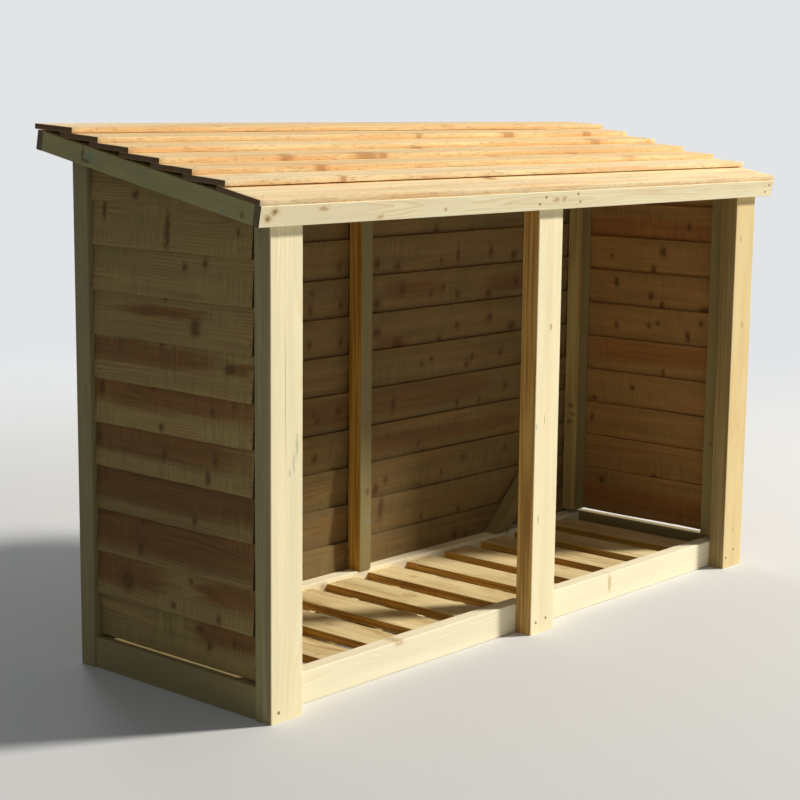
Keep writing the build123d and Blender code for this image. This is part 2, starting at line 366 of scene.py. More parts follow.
# Long patches of brown heartwood, in the same form
LEFT_WALL_HEARTS = on_side(-927, [
    (20, 846, 130, 12), (70, 750, 210, 24), (-236, 745, 40, 14), (0, 664, 320, 38), (60, 560, 300, 42),
    (0, 456, 340, 48), (0, 348, 340, 54), (150, 244, 140, 36), (-195, 250, 110, 30), (-185, 156, 110, 26),
])
BACK_WALL_HEARTS = on_back(249, [
    (170, 800, 110, 26), (590, 792, 90, 26), (108, 658, 62, 16), (215, 508, 260, 34), (224, 484, 78, 4),
    (-173, 501, 110, 34), (300, 392, 340, 24), (-560, 640, 240, 20), (-480, 310, 190, 22),
    (-700, 900, 150, 18), (760, 560, 120, 24), (770, 200, 130, 20),
])
RIGHT_WALL_HEARTS = on_side(918, [
    (0, 935, 240, 40), (-17, 578, 250, 30), (-20, 138, 260, 30), (40, 300, 150, 16),
])

# How light each board of the left wall is, from the lowest up
LEFT_WALL_SHADES = (0.98, 1.02, 0.88, 0.84, 0.94, 1.04, 1.04, 1.05, 0.96, 1.02, 0.96)

# Knots of the planed timbers, in the same form
FASCIA_KNOTS = [
    (-12, -356, 1074, 9, 5), (19, -356, 1075, 6, 5), (-952, -356, 1081, 10, 7), (-970, -355, 1068, 9, 7),
    (-634, -354, 1058, 7, 4), (-813, -357, 1083, 12, 4), (-420, -355, 1067, 4, 3),
]
POST_KNOTS = {
    "middle": [(8, -333, 765, 6, 3)],
    "right": [(898, -333, 693, 10, 5), (874, -333, 935, 8, 4), (895, -333, 105, 6, 4)],
}
RAIL_KNOTS = [(-482, -285, 70, 12, 6), (358, -285, 48, 5, 18)]
SLAT_KNOTS = [(-169, 186, 63, 4, 4), (-147, -22, 63, 20, 14), (-297, -207, 63, 5, 4)]

# Blue-green marks left by the timber treatment, in the same form
POST_STAINS = {
    "left": [(-865, -333, 590, 30, 5), (-874, -333, 556, 24, 4), (-886, -333, 536, 10, 4)],
    "middle": [(-26, -333, 292, 12, 5), (-40, -333, 524, 10, 4)],
    "right": [(898, -333, 410, 8, 4)],
}
RAFTER_STAINS = [(-992, 170, 1176, 15, 18), (-992, -248, 1077, 10, 7)]
STUD_STAINS = [(-56, 206, 205, 9, 12)]

# Dark spots and drying cracks, in the same form
# The rafter's last spot is painted shade in its screw hole; the other spots are dark marks in the wood.
RAFTER_DARK_SPOTS_AND_SHADE = [(-992, 197, 1184, 6, 22), (-992, 186, 1168, 18, 5), (-992, -304, 1073, 7, 8)]
STUD_DARK_SPOTS = [(867, 226, 402, 8, 6), (867, 218, 376, 6, 5), (867, 230, 352, 9, 6)]
POST_CHECKS = {
    "left": [(-899, -333, 705, 165, 0.8)],
    "middle": [(-9, -333, 540, 14, 1.2)],
}

# Fixings, in millimetres. Screws are at x and z on the front faces, and y and z on the outer rafters.
FASCIA_SCREWS = [
    (-75, 1065), (-55, 1081), (72, 1085), (86, 1066), (971, 1081), (956, 1063), (-952, 1081), (-970, 1067),
]
FOOT_SCREWS = [(-919, 23), (-26, 29), (14, 34), (901, 48), (862, 30)]
RAFTER_SCREWS = [(-304, 1073)]
FASCIA_LEAN = 8.2
SCREW_RADIUS = 3.6
NAIL_RADIUS = 2.2
NAIL_LIFT = 22
NAIL_SIDE = 25

# Heads: the sides of a circle, and the cross of a driver's recess
HEAD_SIDES = 24
QUARTER_TURN = math.pi / 2
CROSS_ARM_ANGLE = 0.3
CROSS_WAIST = 0.36

# The rings of a head from its buried edge to its middle: shape, radius and height
SCREW_ROWS = [
    ("circle", SCREW_RADIUS, -0.4), ("circle", SCREW_RADIUS, 0.25), ("circle", 0.86 * SCREW_RADIUS, 0.5),
    ("cross", 0.6 * SCREW_RADIUS, 0.5), ("cross", 0.5 * SCREW_RADIUS, -0.4),
]
NAIL_ROWS = [("circle", NAIL_RADIUS, -0.8), ("circle", NAIL_RADIUS, 0.1), ("circle", 0.8 * NAIL_RADIUS, 0.35)]
SCREW_COLOUR = colour(164, 124, 66)
NAIL_COLOUR = colour(104, 92, 74)
SPECKLE_NOISE = ((MM, MM, MM), 2.0)
METAL_LIFT = 0.5
METAL_ROUGHNESS = 0.5
METAL_ROUGH_SWING = 0.3
METALLIC = 0.4

# Camera, floor and surround
CAMERA_PLACE = Vector((-3.4930, -2.9433, 1.3021))
CAMERA_YAW = math.radians(48.501)
CAMERA_PITCH = math.radians(-9.406)
CAMERA_ROLL = math.radians(0.574)
FOCAL_PIXELS = 1805.4
IMAGE_PIXELS = 800
SENSOR_WIDTH = 36.0
CLIP_END = 200
FLOOR_REACH = 12.0
FLOOR_FADE = (1.6, 5.5)
FLOOR_SHADE = colour(214, 214, 212)
FLOOR_ROUGHNESS = 0.9
FLOOR_GLOSS = 0.1
BACKDROP = colour(226, 228, 230)
SURROUND_LIGHT = colour(226, 230, 236)
SURROUND_STRENGTH = 0.22

# Lamps: name, place, target, size, power and colour
LAMPS = [
    ("key", (9.1, -6.65, 9.1), (0, 0, 0.5), 2.0, 2640, (1.0, 0.96, 0.9)),
    ("back", (3.2, 7.0, 2.2), (0, 0, 0.6), 3.0, 190, (0.94, 0.97, 1.0)),
    ("fill", (-4.5, -3.0, 3.0), (0, 0, 0.5), 3.0, 4, (0.94, 0.97, 1.0)),
]


# Shader nodes

class Graph:
    """One material's node tree, built by plain calls."""

    def __init__(self, name):
        self.material = bpy.data.materials.new(name)
        self.material.use_nodes = True
        self.tree = self.material.node_tree
        self.shader = self.tree.nodes["Principled BSDF"]

    def put(self, socket, value):
        """Links a socket to another one, or sets its value."""
        if isinstance(value, bpy.types.NodeSocket):
            self.tree.links.new(value, socket)
        else:
            socket.default_value = value

    def surface(self, setting, value):
        """Sets or links one input of the material's shader."""
        self.put(self.shader.inputs[setting], value)

    def add(self, kind, values=(), **settings):
        """A new node, with values for its first sockets, or for the sockets that they name."""
        node = self.tree.nodes.new(f"ShaderNode{kind}")
        for setting, value in settings.items():
            setattr(node, setting, value)
        for socket, value in values.items() if isinstance(values, dict) else enumerate(values):
            self.put(node.inputs[socket], value)
        return node

    def math(self, operation, *values):
        return self.add("Math", values, operation=operation).outputs["Value"]

    def vector(self, operation, *values):
        node = self.add("VectorMath", values, operation=operation)
        return node.outputs["Value" if operation in ("LENGTH", "DOT_PRODUCT") else "Vector"]

    def mapped(self, kind, vector, location=(0, 0, 0), rotation=(0, 0, 0), scale=(1, 1, 1)):
        return self.add("Mapping", (vector, location, rotation, scale), vector_type=kind).outputs["Vector"]

    def noise(self, vector, size, detail):
        """Noise whose blobs have the given size along each axis. Returns its value and its colour."""
        values = {"Vector": self.mapped("TEXTURE", vector, scale=size), "Scale": 1.0, "Detail": detail}
        node = self.add("TexNoise", values)
        return node.outputs["Fac"], node.outputs["Color"]

    def cloud(self, vector, kind):
        """The value of one kind of noise."""
        return self.noise(vector, *kind)[0]

    def pushed(self, point, vector, kind, reach):
        """The point, pushed about by one kind of noise."""
        push = self.vector("SUBTRACT", self.noise(vector, *kind)[1], (NOISE_MIDDLE,) * 3)
        return self.vector("ADD", point, self.vector("MULTIPLY", push, reach))

    def step(self, value, low, high):
        """0 below low, 1 above high and smooth between them; it falls where low is above high."""
        first, last = (0.0, 1.0) if low < high else (1.0, 0.0)
        values = {
            "Value": value, "From Min": min(low, high), "From Max": max(low, high), "To Min": first,
            "To Max": last,
        }
        return self.add("MapRange", values, interpolation_type="SMOOTHSTEP").outputs["Result"]

    def fade(self, value, limits, share):
        """A share that comes in by a smooth step between two limits."""
        return self.math("MULTIPLY", self.step(value, *limits), share)

    def mix(self, share, first, second):
        """Two colours mixed by a share."""
        values = {"Factor": share, "A": first, "B": second}
        return self.add("Mix", values, data_type="RGBA").outputs["Result"]

    def blend(self, share, first, second):
        """Two shaders mixed by a share."""
        return self.add("MixShader", (share, first, second)).outputs["Shader"]

    def brighter(self, shade, amount):
        """The colour made lighter or darker by an amount around 1."""
        return self.add("HueSaturation", {"Color": shade, "Value": amount}).outputs["Color"]

    def coordinates(self, kind):
        """The shaded point or its normal, in the part's frame."""
        return self.add("TexCoord").outputs[kind]


class Grain:
    """The wood frame of a piece: along the grain, across it and through it, from the middle."""

    def __init__(self, centre, along, across):
        self.centre = centre / MM
        self.turn = Matrix((along, across, along.cross(across)))

    def place(self, point):
        """A point of the part's frame, in millimetres, in the wood frame."""
        return self.turn @ (Vector(point) - self.centre)

    def coordinates(self, graph):
        """The shaded point in the wood frame, in millimetres."""
        shift = -(self.turn @ self.centre)
        size = (1 / MM, 1 / MM, 1 / MM)
        return graph.mapped("POINT", graph.coordinates("Object"), shift, self.turn.to_euler(), size)

    def end_grain_and_shade(self, graph):
        """How far the sawn ends' darker colour covers the wood: on the ends, and not on the sides. On the
        roof boards that colour is partly painted shade.
        """
        facing = graph.vector("DOT_PRODUCT", graph.coordinates("Normal"), tuple(self.turn[0]))
        return graph.fade(graph.math("ABSOLUTE", facing), END_FACING, END_SHARE)


# Wood

def marks_in(grain, marks, depth=THROUGH):
    """Measured marks as ellipsoids in the wood frame, as deep as is given."""
    return [(grain.place((x, y, z)), (along, across, depth)) for x, y, z, along, across in marks]


def nearest_mark(graph, point, spots, blunt=False):
    """How far the shaded point is from the nearest mark, where 1 is the mark's oval or blunt edge."""
    nearest = FAR
    for centre, radii in spots:
        offset = graph.mapped("TEXTURE", point, centre, scale=radii)
        if blunt:
            offset = graph.vector("MULTIPLY", offset, offset)
        nearest = graph.math("MINIMUM", nearest, graph.vector("LENGTH", offset))
    return nearest


def growth_rings(graph, point, pith):
    """How far the shaded point is from the pith, bent by slow and quick waves along the grain."""
    bent = graph.vector("MULTIPLY", point, (0, 1, 1))
    bent = graph.pushed(bent, point, SLOW_WAVE_NOISE, SLOW_WAVE)
    bent = graph.pushed(bent, point, QUICK_WAVE_NOISE, QUICK_WAVE)
    return graph.vector("LENGTH", graph.vector("SUBTRACT", bent, (0, *pith)))


def late_wood(graph, radius, look):
    """The dark late part of each growth ring, which fades in slowly and stops sharply."""
    phase = graph.math("FRACT", graph.math("DIVIDE", radius, look["ring_gap"]))
    return graph.fade(phase, RING_RISE, graph.step(phase, *RING_STOP))


class Patterns:
    """The patterns in one timber, which its colour and its relief share."""

    def __init__(self, graph, grain, look, knots, chance):
        self.point = grain.coordinates(graph)
        shift = tuple(chance.uniform(-NOISE_SHIFT, NOISE_SHIFT) for _ in range(3))
        self.moved = graph.vector("ADD", self.point, shift)
        fray = (FRAY_ALONG * look["fray"], FRAY_ACROSS, 0)
        self.frayed = graph.pushed(self.point, self.moved, FRAY_NOISE, fray)
        self.reach = nearest_mark(graph, self.frayed, knots)
        pith_across = chance.uniform(-PITH_SIDEWAYS, PITH_SIDEWAYS)
        pith_through = chance.choice((-1, 1)) * chance.uniform(*PITH_DEPTHS)
        self.radius = growth_rings(graph, self.point, (pith_across, pith_through))
        bulge = graph.fade(self.reach, KNOT_PULL, look["ring_bulge"] * look["ring_gap"])
        self.late = late_wood(graph, graph.math("ADD", self.radius, bulge), look)
        self.fibres = graph.cloud(self.moved, FIBRE_NOISE)
        self.bands = graph.cloud(self.moved, BAND_NOISE)
        self.patches = graph.cloud(self.moved, PATCH_NOISE)
        self.saw = None
        if look["saw"]:
            self.saw = graph.cloud(graph.mapped("POINT", self.moved, rotation=(0, 0, SAW_TILT)), SAW_NOISE)


def softwood(name, look, grain, seed, marks, shade=1.0, faces_with_painted_light=()):
    """A treated softwood timber: rings round a pith, knots, streaks, saw marks and stains."""
    chance = random.Random(seed)
    shade *= chance.uniform(*SHADE_RANGE)
    graph = Graph(name)
    knots = marks.get("knots", ())
    patterns = Patterns(graph, grain, look, knots, chance)
    in_heart = heart_share(graph, look, patterns, marks.get("hearts", ()), chance)
    tone = streaks(graph, look, patterns, shade)
    wood = graph.brighter(ringed(graph, look, patterns, in_heart), tone)
    if look["saw"]:
        wood = saw_marked(graph, wood, look, patterns)
    if look["edge_glow"]:
        wood = worn_edge(graph, wood, look, patterns)
    if knots and look["smudge"]:
        wood = smudged(graph, wood, look, patterns, knots)
    if knots:
        wood = knotted(graph, wood, look, patterns.reach)
    if faces_with_painted_light:
        wood = painted_side_light(graph, wood, look, patterns, tone, faces_with_painted_light)
    for kind, shown, share in BLOTCHES:
        place = patterns.point if kind == "checks" else patterns.frayed
        wood = blotched(graph, wood, place, marks.get(kind, ()), shown, share)
    graph.surface("Base Color", graph.mix(grain.end_grain_and_shade(graph), wood, look["end"]))
    relief(graph, look, patterns)
    return graph.material


def heart_share(graph, look, patterns, hearts, chance):
    """1 in the heartwood: in the patches seen on a board, or round the pith of other timbers."""
    if hearts:
        blur = look["heart_blur"]
        point = graph.pushed(patterns.point, patterns.moved, HEART_NOISE, HEART_PUSH)
        return graph.step(nearest_mark(graph, point, hearts, blunt=True), 1 + blur, 1 - blur)
    radius = chance.uniform(*HEART_RADII)
    return graph.step(patterns.radius, radius + HEART_EDGE, radius - HEART_EDGE)


def ringed(graph, look, patterns, in_heart):
    """The colour of the growth rings, in sapwood with a patchy tint and in heartwood."""
    clearness = graph.fade(patterns.patches, CLEAR_PATCHES, RING_CLEARNESS * look["ring_strength"])
    ring_share = graph.math("MULTIPLY", patterns.late, clearness)
    sap = graph.mix(ring_share, look["early"], look["late"])
    heart = graph.mix(ring_share, look["heart"], look["heart_late"])
    sap = graph.mix(graph.fade(patterns.patches, TINTED_PATCHES, look["tint_strength"]), sap, look["tint"])
    return graph.mix(graph.math("MULTIPLY", in_heart, look["heart_share"]), sap, heart)


def streaks(graph, look, patterns, shade):
    """How light the wood is along its fibres and long bands, around its own shade."""
    fibres = graph.math("MULTIPLY", patterns.fibres, FIBRE_TONE)
    tone = graph.math("ADD", fibres, graph.math("MULTIPLY", patterns.bands, BAND_TONE))
    gain = STREAK_GAIN * look["streaks"]
    return graph.math("MULTIPLY_ADD", tone, gain, shade - STREAK_MIDDLE * look["streaks"])


def saw_marked(graph, wood, look, patterns):
    """The wood's colour with the fine rows that a band saw leaves across the grain."""
    swing = graph.math("SUBTRACT", patterns.saw, NOISE_MIDDLE)
    swing = graph.fade(patterns.patches, SAWN_PATCHES, swing)
    return graph.brighter(wood, graph.math("MULTIPLY_ADD", swing, look["saw"], 1.0))


def worn_edge(graph, wood, look, patterns):
    """A weathered roof board: long orange streaks, most at its front edge, and fine dark splinters."""
    across = graph.add("SeparateXYZ", (patterns.point,)).outputs["Y"]
    front = graph.step(across, *ROOF_FRONT)
    glow = graph.math("MULTIPLY_ADD", front, GLOW_AT_FRONT, graph.cloud(patterns.moved, GLOW_NOISE))
    wood = graph.mix(graph.fade(glow, GLOW_FADE, GLOW_SHARE), wood, look["edge_glow"])
    fine = graph.cloud(patterns.moved, SPLINTER_NOISE)
    fine = graph.math("MULTIPLY_ADD", front, SPLINTERS_AT_FRONT, fine)
    return graph.mix(graph.fade(fine, SPLINTER_FADE, SPLINTER_SHARE), wood, look["knot"])


def smudged(graph, wood, look, patterns, knots):
    """The wood's colour, darker in a wide smudge round each knot."""
    smudges = []
    for centre, (along, across, depth) in knots:
        length = SMUDGE_LENGTH[0] * along + SMUDGE_LENGTH[1]
        width = SMUDGE_WIDTH[0] * across + SMUDGE_WIDTH[1]
        smudges.append((centre, (length, width, depth)))
    near = graph.step(nearest_mark(graph, patterns.frayed, smudges), *SMUDGE_FADE)
    return graph.brighter(wood, graph.math("MULTIPLY_ADD", near, -look["smudge"], 1.0))


def knotted(graph, wood, look, reach):
    """The wood's colour with a halo, a faint rim and a core that fades out at each knot."""
    wood = graph.mix(graph.fade(reach, HALO_FADE, HALO_SHARE), wood, look["halo"])
    core_shade = graph.mix(graph.fade(reach, CORE_FADE, CORE_PALENESS), look["knot"], look["halo"])
    outer, inner = CORE_EDGE
    core_limits = (outer + look["knot_blur"], inner - look["knot_blur"])
    wood = graph.mix(graph.fade(reach, core_limits, look["knot_share"]), wood, core_shade)
    rim = graph.fade(reach, RIM_RISE, graph.step(reach, *RIM_FALL))
    return graph.mix(graph.math("MULTIPLY", rim, look["knot_rim"]), wood, look["knot"])


def painted_side_light(graph, wood, look, patterns, tone, directions):
    """The wood's colour with a painted side tone on the faces that look in the given directions: painted warm
    bounce light on golden sides, painted shade on olive ones, over some of the wood's own tone.
    """
    strands = graph.step(graph.cloud(patterns.moved, STRAND_NOISE), *STRANDS)
    side = graph.brighter(graph.mix(strands, look["side"], look["side_late"]), tone)
    # Painted light and shade: the side colour covers each face that looks in one of the directions.
    for direction in directions:
        facing = graph.vector("DOT_PRODUCT", graph.coordinates("Normal"), tuple(direction))
        wood = graph.mix(graph.fade(facing, PAINTED_SIDE_FACING, look["side_share"]), wood, side)
    return wood


def blotched(graph, wood, point, spots, shade, share):
    """The wood's colour with soft-edged marks of another colour."""
    for centre, radii in spots:
        reach = graph.vector("LENGTH", graph.mapped("TEXTURE", point, centre, scale=radii))
        wood = graph.mix(graph.fade(reach, BLOTCH_FADE, share), wood, shade)
    return wood


def relief(graph, look, patterns):
    """The wood's roughness and the fine relief of its rings, fibres and saw marks."""
    height = graph.math("MULTIPLY", patterns.fibres, FIBRE_HEIGHT)
    height = graph.math("MULTIPLY_ADD", patterns.late, LATE_HEIGHT, height)
    if look["saw"]:
        height = graph.math("MULTIPLY_ADD", patterns.saw, look["saw"], height)
    bump = graph.add("Bump", {"Height": height, "Strength": look["bump"], "Distance": RELIEF_DEPTH})
    lowest = look["roughness"] - ROUGH_SWING / 2
    graph.surface("Roughness", graph.math("MULTIPLY_ADD", patterns.bands, ROUGH_SWING, lowest))
    graph.surface("Normal", bump.outputs["Normal"])
    graph.surface("Specular IOR Level", WOOD_GLOSS)


def scattered_knots(seed, length, width, per_metre):
    """Small knots at random for a piece whose knots the photograph doesn't show."""
    chance = random.Random(seed)
    spots = []
    for _ in range(round(length / MM * per_metre / MM_PER_METRE)):
        along = chance.uniform(-KNOTS_ALONG, KNOTS_ALONG) * length / MM
        across = chance.uniform(-KNOTS_ACROSS, KNOTS_ACROSS) * width / MM
        size = chance.uniform(*KNOT_RADII)
        spots.append((Vector((along, across, 0.0)), (size * chance.uniform(*KNOT_STRETCH), size, THROUGH)))
    return spots


# Planed timbers

def middle(node):
    """The middle of a CAD node's box."""
    low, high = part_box(node)
    return (low + high) / 2


def dress(node, look, along, across, seed, scatter=0, faces_with_painted_light=(), **marks):
    """Gives a planed CAD timber its wood material, with the marks that are named by kind."""
    grain = Grain(middle(node), along, across)
    low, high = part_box(node)
    size = high - low
    own = {kind: marks_in(grain, spots, MARK_DEPTHS[kind]) for kind, spots in marks.items()}
    random_knots = scattered_knots(seed, abs(size.dot(along)), abs(size.dot(across)), scatter)
    own["knots"] = own.get("knots", []) + random_knots
    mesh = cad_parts[node].data
    mesh.materials.clear()
    mesh.materials.append(softwood(f"wood_{node}", look, grain, seed, own, faces_with_painted_light=faces_with_painted_light))


def upright_timbers():
    """Wood materials for the posts, studs, stiles and braces, which keep their CAD meshes."""
    post_looks = {"left": LEFT_POST, "middle": PLANED, "right": RIGHT_POST}
    stud_looks = {"left": STUD, "middle": STUD, "right": RIGHT_STUD}
    for number, side in enumerate(post_looks):
        dress(
            f"front_post_{side}", post_looks[side], Z_AXIS, X_AXIS, SEEDS["front_post"] + number,
            faces_with_painted_light=(-X_AXIS,), knots=POST_KNOTS.get(side, []), stains=POST_STAINS[side],
            checks=POST_CHECKS.get(side, []),
        )
        dress(
            f"back_stud_{side}", stud_looks[side], Z_AXIS, X_AXIS, SEEDS["back_stud"] + number, FEW_KNOTS,
            faces_with_painted_light=(-X_AXIS, X_AXIS), stains=STUD_STAINS, shadows=STUD_DARK_SPOTS,
        )
    for number, (side, lean) in enumerate((("left", -X_AXIS), ("right", X_AXIS))):
        up_the_brace = (Z_AXIS + lean).normalized()
        dress(f"rear_post_{side}", SHADED_REAR_POST, Z_AXIS, X_AXIS, SEEDS["rear_post"] + number, SOME_KNOTS)
        dress(f"side_stile_{side}", STUD, Z_AXIS, Y_AXIS, SEEDS["side_stile"] + number, FEW_KNOTS)
        dress(f"back_brace_{side}", STUD, up_the_brace, Y_AXIS, SEEDS["back_brace"] + number, MANY_KNOTS)


def level_timbers():
    """Wood materials for the rails, rafters and fascias, which keep their CAD meshes."""
    for number, side in enumerate(("left", "right")):
        dress(f"base_rail_{side}", SHADED_SIDE_RAIL, Y_AXIS, Z_AXIS, SEEDS["side_rail"] + number)
    dress("base_rail_front", RAIL, X_AXIS, Z_AXIS, SEEDS["front_rail"], knots=RAIL_KNOTS)
    dress("base_rail_back", RAIL, X_AXIS, Z_AXIS, SEEDS["back_rail"], SOME_KNOTS)
    for number, side in enumerate(("left", "middle", "right")):
        marks = {"stains": RAFTER_STAINS, "shadows": RAFTER_DARK_SPOTS_AND_SHADE} if side == "left" else {}
        knots = 0 if marks else SOME_KNOTS
        dress(f"rafter_{side}", RAFTER, UP_SLOPE, OFF_SLOPE, SEEDS["rafter"] + number, knots, **marks)
    dress("fascia_front", FASCIA, X_AXIS, OFF_SLOPE, SEEDS["fascia_front"], knots=FASCIA_KNOTS)
    dress("fascia_rear", FASCIA, X_AXIS, OFF_SLOPE, SEEDS["fascia_rear"], MANY_KNOTS)


def floor_timbers():
    """Wood materials for the slats and what carries them, which keep their CAD meshes."""
    for number, node in enumerate(("slat_ledger_front", "slat_ledger_back", "slat_bearer_middle")):
        dress(node, SLAT, X_AXIS, Z_AXIS, SEEDS["slat_support"] + number, MANY_KNOTS)
    for number, node in enumerate(floor_slats()):
        low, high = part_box(node)
        own = [mark for mark in SLAT_KNOTS if low.x < mark[0] * MM < high.x]
        dress(
            node, SLAT, Y_AXIS, X_AXIS, SEEDS["floor_slat"] + number, 0 if own else SOME_KNOTS,
            faces_with_painted_light=(-X_AXIS, X_AXIS), knots=own,
        )


def floor_slats():
    """The names of the floor slats, in order."""
    return sorted(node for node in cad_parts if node.startswith("floor_slat_"))


# Sawn boards

def whole_solids(node):
    """The separate solids of a CAD node, each with its flat faces joined up again."""
    joined = bmesh.new()
    joined.from_mesh(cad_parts[node].data)
    bmesh.ops.remove_doubles(joined, verts=joined.verts, dist=WELD_GAP)
    bmesh.ops.dissolve_limit(joined, angle_limit=FLAT_ANGLE, verts=joined.verts, edges=joined.edges)
    left = set(joined.verts)
    solids = []
    while left:
        group = {left.pop()}
        edge_of_group = list(group)
        while edge_of_group:
            vertex = edge_of_group.pop()
            for edge in vertex.link_edges:
                other = edge.other_vert(vertex)
                if other in left:
                    left.remove(other)
                    group.add(other)
                    edge_of_group.append(other)
        solids.append(copied(joined, group))
    joined.free()
    return solids


def copied(source, vertices):
    """A new bmesh of the given vertices and the faces between them."""
    solid = bmesh.new()
    twin = {vertex: solid.verts.new(vertex.co) for vertex in vertices}
    for face in source.faces:
        if face.verts[0] in twin:
            solid.faces.new([twin[vertex] for vertex in face.verts])
    solid.normal_update()
    return solid


def slice_across(solid, direction, start, end, count):
    """Cuts the solid's faces at even steps along a direction, so that they can bend."""
    for number in range(1, count):
        place = start + (end - start) * number / count
        geometry = solid.verts[:] + solid.edges[:] + solid.faces[:]
        bmesh.ops.bisect_plane(solid, geom=geometry, plane_co=direction * place, plane_no=direction)


def board_frame(solid, along, outward):
    """The directions across and through a leaning board, from its largest face that looks outward."""
    faces = [face for face in solid.faces if face.normal.dot(outward) > FACING]
    through = max(faces, key=lambda face: face.calc_area()).normal.copy()
    across = through.cross(along).normalized()
    if across.dot(Z_AXIS + ROOF_LEAN * Y_AXIS * abs(outward.z)) < 0:
        across = -across
    return across, through


def reach_along(solid, direction):
    """The lowest and the highest place of a solid along a direction."""
    places = [vertex.co.dot(direction) for vertex in solid.verts]
    return min(places), max(places)


def waver(solid, along, across, through, seed):
    """Bends a sliced board a little, as a band saw leaves it: its lower edge most of all."""
    low, high = reach_along(solid, across)
    shift = Vector([seed * step for step in SEED_STEPS])
    for vertex in solid.verts:
        place = vertex.co.dot(along)
        share = 1 - (vertex.co.dot(across) - low) / (high - low)
        slow = noise.noise(Vector((place / EDGE_WAVE_LENGTH, 0, 0)) + shift)
        quick = noise.noise(Vector((place / CHIP_LENGTH, CHIP_LAYER, 0)) + shift)
        face = noise.noise(Vector((place / FACE_WAVE_LENGTH, share * FACE_WAVES, FACE_LAYER)) + shift)
        edge = share ** EDGE_POWER * (EDGE_WAVER * slow + EDGE_CHIP * quick)
        vertex.co += across * edge + through * FACE_WAVER * face


def finish_mesh(solid, name, material):
    """Turns a bmesh into a piece with soft faces and crisp corners that rides on the store."""
    low, high = cad_box
    for vertex in solid.verts:
        vertex.co = Vector(map(min, high, map(max, low, vertex.co)))
    for edge in solid.edges:
        edge.smooth = len(edge.link_faces) == 2 and edge.calc_face_angle() < CRISP_ANGLE
    for face in solid.faces:
        face.smooth = True
    mesh = bpy.data.meshes.new(name)
    solid.to_mesh(mesh)
    solid.free()
    mesh.materials.append(material)
    piece = bpy.data.objects.new(name, mesh)
    bpy.context.scene.collection.objects.link(piece)
    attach(piece, "root")
    return piece


def board_nails(solid, along, through, height, carriers):
    """Where the nails of a board meet its outer face: one for each timber that carries it."""
    skin = BVHTree.FromBMesh(solid)
    places = []
    for node in carriers:
        outside = along * middle(node).dot(along) + height + through * NAIL_START
        place, normal, _, _ = skin.ray_cast(outside, -through)
        if place and normal.dot(through) > FACING:
            places.append((place / MM, through))
    return places


def sawn_board(name, solid, look, along, outward, seed, knots, hearts, shade, stand_for, carriers):
    """Makes the sawn board for one CAD solid. Returns where its nails are."""
    across, through = board_frame(solid, along, outward)
    start, end = reach_along(solid, along)
    low, high = reach_along(solid, across)
    front, back = reach_along(solid, through)
    centre = along * (start + end) / 2 + across * (low + high) / 2 + through * (front + back) / 2
    grain = Grain(centre, along, across)
    own = [mark for mark in marks_in(grain, knots) if abs(mark[0].y) < (high - low) / 2 / MM]
    if not own:
        own = scattered_knots(seed, end - start, high - low, BOARD_KNOTS)
    bmesh.ops.bevel(
        solid, geom=solid.edges[:], offset=BOARD_ARRIS, segments=ARRIS_SEGMENTS, profile=ARRIS_PROFILE,
        affect="EDGES",
    )
    slice_across(solid, along, start, end, round((end - start) / BOARD_SLICE))
    slice_across(solid, across, low, high, BOARD_LANES)
    waver(solid, along, across, through, seed)
    nails = board_nails(solid, along, through, across * (low + NAIL_LIFT * MM), carriers)
    marks = {"knots": own, "hearts": marks_in(grain, hearts)}
    piece = finish_mesh(solid, name, softwood(f"wood_{name}", look, grain, seed, marks, shade))
    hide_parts(stand_for)
    return nails


def foot(solid):
    """The height of a leaning board's lower edge, by which the boards of a wall are put in order."""
    return min(vertex.co.z for vertex in solid.verts)


def wall(node, look, along, outward, knots, hearts, carriers, shades=()):
    """The sawn boards of one lapped wall, each with the marks that lie on what shows of it."""
    solids = sorted(whole_solids(node), key=foot)
    feet = [foot(solid) / MM for solid in solids] + [NO_LIMIT]
    nails = []
    for number, solid in enumerate(solids):
        own_knots, own_hearts = (
            [mark for mark in marks if feet[number] < mark[2] < feet[number + 1]] for marks in (knots, hearts)
        )
        nails += sawn_board(
            f"{node}_board_{number + 1:02d}", solid, look, along, outward, SEEDS[node] + number,
            own_knots, own_hearts, shades[number] if shades else 1.0, node, carriers,
        )
    return nails


def walls():
    """The three lapped walls. Returns where their nails are."""
    nails = wall(
        "cladding_left", WALL_BOARD, Y_AXIS, -X_AXIS, LEFT_WALL_KNOTS, LEFT_WALL_HEARTS,
        ("side_stile_left", "back_stud_left"), LEFT_WALL_SHADES,
    )
    nails += wall(
        "cladding_right", RIGHT_BOARD, Y_AXIS, X_AXIS, RIGHT_WALL_KNOTS, RIGHT_WALL_HEARTS,
        ("side_stile_right", "back_stud_right"),
    )
    return nails + wall(
        "cladding_back", BACK_BOARD, X_AXIS, Y_AXIS, BACK_WALL_KNOTS, BACK_WALL_HEARTS,
        ("back_stud_left", "back_stud_middle", "back_stud_right"),
    )


def roof():
    """The sawn roof boards, from the ridge board down. Returns where their nails are."""
    nodes = sorted(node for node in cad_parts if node.startswith("roof_board_"))
    front_edges = [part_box(node)[0].y / MM for node in nodes]
    nails = []
    for number, node in enumerate(nodes):
        last_edge = front_edges[number - 1] if number else NO_LIMIT
        own = [mark for mark in ROOF_KNOTS if front_edges[number] < mark[1] < last_edge]
        look = PALE_ROOF_BOARD if number >= len(nodes) - PALE_ROOF_BOARDS else ROOF_BOARD
        nails += sawn_board(
            f"{node}_sawn", whole_solids(node)[0], look, X_AXIS, OFF_SLOPE, SEEDS["roof_board"] + number,
            own, (), 1.0, node, ("rafter_left", "rafter_middle", "rafter_right"),
        )
    return nails


# Fixings

